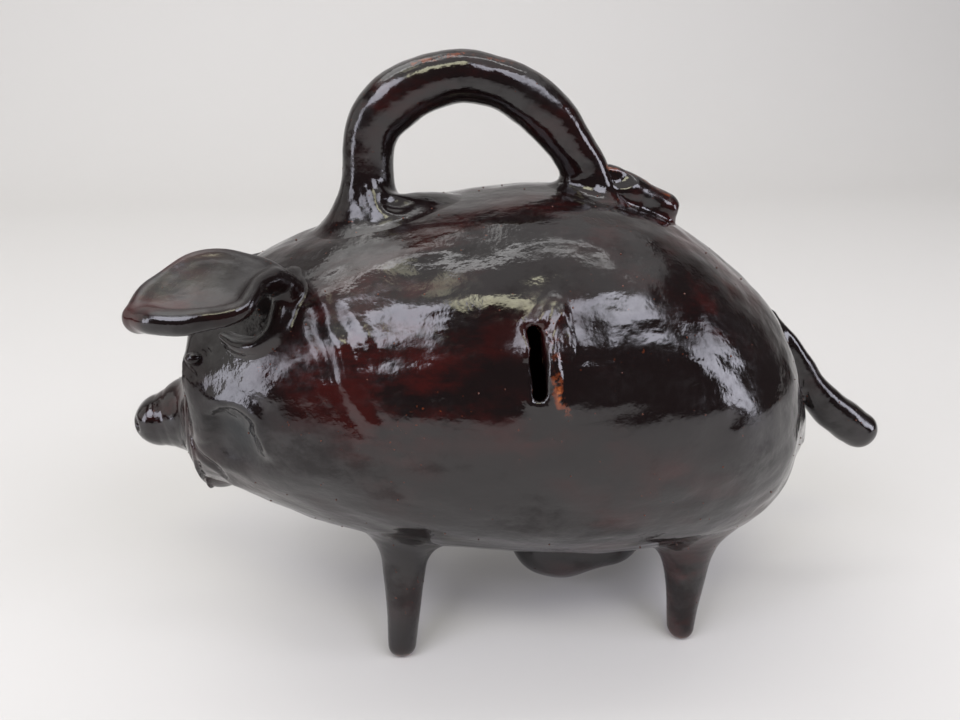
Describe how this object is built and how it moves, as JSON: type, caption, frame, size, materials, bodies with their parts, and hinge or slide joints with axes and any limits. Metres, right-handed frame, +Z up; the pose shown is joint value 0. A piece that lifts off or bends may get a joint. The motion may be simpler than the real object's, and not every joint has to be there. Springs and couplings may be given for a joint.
{
  "type": "pig money bank",
  "caption": "Hollow glazed earthenware pig with a looped carrying handle over its back and a coin slot cut in its left flank, standing on short peg legs.",
  "frame": {"origin": "bottom centre of the bounding box, on the surface that the feet stand on", "axes": "+Z up; the pig faces -X with its tail towards +X; its left flank, with the coin slot, faces -Y"},
  "size_m": [0.3202, 0.1495, 0.2342],
  "materials": {
    "treacle_glaze": "thick glossy brown-black lead or manganese glaze on earthenware"
  },
  "bodies": {
    "root": {"body_shell": "treacle_glaze", "snout": "treacle_glaze", "lower_lip": "treacle_glaze", "handle": "treacle_glaze", "handle_lug": "treacle_glaze", "tail": "treacle_glaze", "udder": "treacle_glaze", "left_eye": "treacle_glaze", "right_eye": "treacle_glaze", "left_ear": "treacle_glaze", "right_ear": "treacle_glaze", "left_front_leg": "treacle_glaze", "right_front_leg": "treacle_glaze", "left_rear_leg": "treacle_glaze", "right_rear_leg": "treacle_glaze"}
  },
  "joints": []
}
